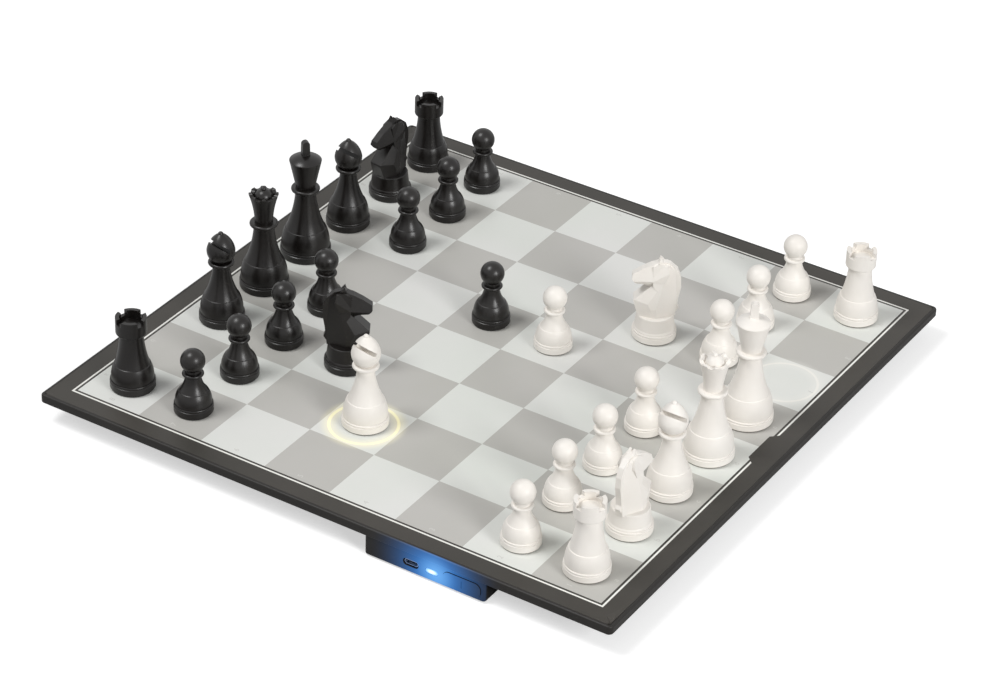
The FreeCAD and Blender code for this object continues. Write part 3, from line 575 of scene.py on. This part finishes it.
bpy.ops.mesh.extrude_region_move(TRANSFORM_OT_translate={"value": (0, 0, groove_deep)})
bpy.ops.object.mode_set(mode="OBJECT")
choose(pad, lambda c: c.z < hair and c.xy.length > pad_r - rim_band, "EDGE")
bpy.ops.mesh.bevel(offset=pad_round, segments=4)
bpy.ops.object.mode_set(mode="OBJECT")
leg_line = high.x - pad_r
pod_pad_x = -162.2 * mm
pod_pad_ys = (-54.5 * mm, -95.0 * mm)
pad_spots = [(x, y, low.z) for x in (-leg_line, leg_line) for y in (-leg_line, leg_line)]
pad_spots += [(pod_pad_x, y, low.z) for y in pod_pad_ys]
pads = set_out("foot_pad_set", pad, pad_spots, rubber)
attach(pads, "board")
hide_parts("foot_pads")

# Pod
# A shallow moulded box under the left edge holds the battery and the main board. It is of the frame's
# plastic, and four screws hold it to the tray's bosses.
pod_plastic = moulded(
    "pod_plastic", screen(27, 26, 26), screen(34, 33, 32),
    roughness=0.45, grain=0.35 * mm, grain_deep=0.012 * mm,
)
# The pod's face and the power button carry the status lamp's painted blue glow.
dress(painted_lamp_glow(pod_plastic), "pod_shell", "power_button")
dress(chip_black, "switch_plunger")

# Status lamp
# A short light pipe of frosted acrylic shows the light of a blue LED in the pod's face.
lens_low, lens_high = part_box("light_pipe")
lens_middle = (lens_low.x, (lens_low.y + lens_high.y) / 2, (lens_low.z + lens_high.z) / 2)
lens_flat = (1.0, 1.0, 2.2)
lens_core = 0.8 * mm
lens_rim = 4.4 * mm
lens_blue = (0.08, 0.30, 0.75, 1)
lens_white = (0.95, 1.1, 1.2, 1)
lamp_lens = moulded(
    "lamp_lens", screen(120, 160, 215), screen(135, 175, 225),
    roughness=0.25, grain=0.4 * mm, grain_deep=0.004 * mm,
)
lens_tree, lens_shader, lens_spot = opened(lamp_lens)
from_led = put(lens_tree, "VectorMath", {0: lens_spot, 1: lens_middle}, operation="SUBTRACT")
from_led = from_led.outputs["Vector"]
from_led = put(lens_tree, "VectorMath", {0: from_led, 1: lens_flat}, operation="MULTIPLY").outputs["Vector"]
from_led = put(lens_tree, "VectorMath", {0: from_led}, operation="LENGTH").outputs["Value"]
centre = ranged(lens_tree, from_led, lens_core, lens_rim, 1.0, 0.0, "SMOOTHSTEP")
lens_light = blended(lens_tree, centre, lens_blue, lens_white)
lens_tree.links.new(lens_light, lens_shader.inputs["Emission Color"])
lens_shader.inputs["Emission Strength"].default_value = 1.0
dress(lamp_lens, "light_pipe")

# Port, radio, ribbon and battery
# The charging port is a folded steel shell. The radio has a tinned can, the flat ribbon is
# polyester, and the pouch battery lies on a strip of foam.
port_steel = moulded(
    "port_steel", screen(150, 150, 150), screen(175, 175, 174),
    roughness=0.28, grain=0.2 * mm, grain_deep=0.004 * mm,
)
metallic(port_steel)
# The port's shell carries the status lamp's painted blue glow.
dress(painted_lamp_glow(port_steel), "usb_port")
tinned = moulded(
    "tinned_can", screen(180, 180, 178), screen(200, 200, 198),
    roughness=0.3, grain=0.2 * mm, grain_deep=0.004 * mm,
)
metallic(tinned)
dress(tinned, "radio_module")
nylon = moulded(
    "connector_nylon", screen(225, 220, 205), screen(235, 230, 216),
    roughness=0.5, grain=0.3 * mm, grain_deep=0.01 * mm,
)
dress(nylon, "ribbon_connectors", "battery_socket")
ribbon_film = moulded(
    "ribbon_film", screen(226, 224, 216), screen(238, 236, 228),
    roughness=0.35, grain=0.3 * mm, grain_deep=0.004 * mm,
)
dress(ribbon_film, "ribbon_cable")
pouch = moulded(
    "pouch_foil", screen(160, 162, 165), screen(190, 192, 194),
    roughness=0.38, grain=0.5 * mm, grain_deep=0.02 * mm,
)
metallic(pouch, share=0.8)
dress(pouch, "battery")
foam = moulded(
    "foam_strip", screen(48, 48, 48), screen(66, 66, 66),
    roughness=0.95, grain=0.8 * mm, grain_deep=0.15 * mm,
)
dress(foam, "battery_foam")
lead_sleeve = moulded(
    "lead_sleeve", screen(130, 20, 18), screen(160, 32, 26),
    roughness=0.4, grain=0.4 * mm, grain_deep=0.006 * mm,
)
dress(lead_sleeve, "battery_leads")

# Chess pieces
# Turned-looking pieces moulded in solid plastic, warm white and soft black, with a magnet slug in the foot
# and a felt pad glued under it.
felt_thick = 0.79 * mm
felt_top = sheet_top + felt_thick
white_felt = screen(120, 116, 110)
black_felt = screen(22, 24, 22)


def piece_finish(name, shade, tint, roughness, gloss, felt):
    """Satin plastic above, felt on the pad under the foot."""
    material = moulded(
        name, shade, tint,
        roughness=roughness, grain=0.45 * mm, grain_deep=0.006 * mm, patch=0.02, gloss=gloss,
    )
    tree, shader, spot = opened(material)
    height = put(tree, "SeparateXYZ", {"Vector": spot}).outputs["Z"]
    above = put(tree, "Math", {0: height, 1: felt_top}, operation="GREATER_THAN").outputs["Value"]
    plain = shader.inputs["Base Color"].links[0].from_socket
    tree.links.new(blended(tree, above, felt, plain), shader.inputs["Base Color"])
    return material


white_shade = screen(238, 233, 226)
white_tint = screen(242, 238, 232)
white_plastic = piece_finish(
    "white_plastic", white_shade, white_tint, roughness=0.4, gloss=0.3, felt=white_felt,
)
black_shade = screen(14, 11, 10)
black_tint = screen(20, 17, 15)
black_plastic = piece_finish(
    "black_plastic", black_shade, black_tint, roughness=0.32, gloss=0.42, felt=black_felt,
)
for name in parts:
    if name.startswith("white_"):
        dress(white_plastic, name)
    elif name.startswith("black_"):
        dress(black_plastic, name)

# Table, light and camera
# A pale seamless table, one large soft light overhead, a soft panel at the front, and a white room.
# The camera stands where the photographer stood.
table_size = 30.0
lift_near = 0.5
lift_far = 3.5
lift_low = 0.55
lift_high = 0.95
bpy.ops.mesh.primitive_plane_add(size=table_size)
table = bpy.context.object
table.name = "table"
table_grey = screen(212, 212, 212)
table_pale = screen(214, 214, 214)
table_paint = moulded(
    "table_paint", table_grey, table_pale,
    roughness=0.9, grain=4 * mm, grain_deep=0.001 * mm, patch=2.0, gloss=0.0,
)
table_tree, table_shader, table_spot = opened(table_paint)
table_shader.inputs["Emission Color"].default_value = (1, 1, 1, 1)
to_camera = put(table_tree, "LightPath", {}).outputs["Is Camera Ray"]
from_part = put(table_tree, "VectorMath", {0: table_spot}, operation="LENGTH").outputs["Value"]
table_lift = ranged(table_tree, from_part, lift_near, lift_far, lift_low, lift_high)
table_lift = put(table_tree, "Math", {0: to_camera, 1: table_lift}, operation="MULTIPLY").outputs["Value"]
table_tree.links.new(table_lift, table_shader.inputs["Emission Strength"])
table.data.materials.append(table_paint)


def soft_light(name, place, target, size, power):
    """A square soft box, facing a point."""
    data = bpy.data.lights.new(name, "AREA")
    data.shape = "SQUARE"
    data.size = size
    data.energy = power
    box = bpy.data.objects.new(name, data)
    box.location = place
    box.rotation_euler = (Vector(target) - Vector(place)).to_track_quat("-Z", "Y").to_euler()
    bpy.context.scene.collection.objects.link(box)


overhead_watts = 40
panel_watts = 36
soft_light("overhead_light", place=(-0.9, 1.0, 2.6), target=(0, 0, 0), size=1.0, power=overhead_watts)
soft_light("front_panel", place=(-0.85, -2.25, 1.1), target=(0, 0, 0.05), size=0.85, power=panel_watts)

scene = bpy.context.scene
scene.view_settings.view_transform = "Standard"
room_light = 0.34
room_white = 1.0
room = bpy.data.worlds.new("white_room")
room.use_nodes = True
scene.world = room
tree = room.node_tree
background = tree.nodes["Background"]
background.inputs["Color"].default_value = (1, 1, 1, 1)
path = put(tree, "LightPath", {})
shown = path.outputs["Is Camera Ray"]
for ray in ("Is Glossy Ray", "Is Transmission Ray"):
    shown = put(tree, "Math", {0: shown, 1: path.outputs[ray]}, operation="MAXIMUM").outputs["Value"]
room_level = ranged(tree, shown, 0.0, 1.0, room_light, room_white)
tree.links.new(room_level, background.inputs["Strength"])

azimuth = math.radians(-58.570)
elevation = math.radians(33.346)
roll = math.radians(2.053)
stand = (-1.51445, -0.92533, 1.18736)
flat = math.cos(elevation)
back = Vector((math.sin(azimuth) * flat, -math.cos(azimuth) * flat, math.sin(elevation)))
level = Vector((0, 0, 1)).cross(back).normalized()
upright = back.cross(level)
right = math.cos(roll) * level + math.sin(roll) * upright
up = -math.sin(roll) * level + math.cos(roll) * upright
lens = bpy.data.cameras.new("camera")
lens.sensor_width = 36.0
lens.lens = 126.98
lens.clip_start = 0.1
lens.clip_end = 50.0
camera = bpy.data.objects.new("camera", lens)
turned = Matrix((right, up, back)).transposed().to_4x4()
camera.matrix_world = Matrix.Translation(stand) @ turned
scene.collection.objects.link(camera)
scene.camera = camera
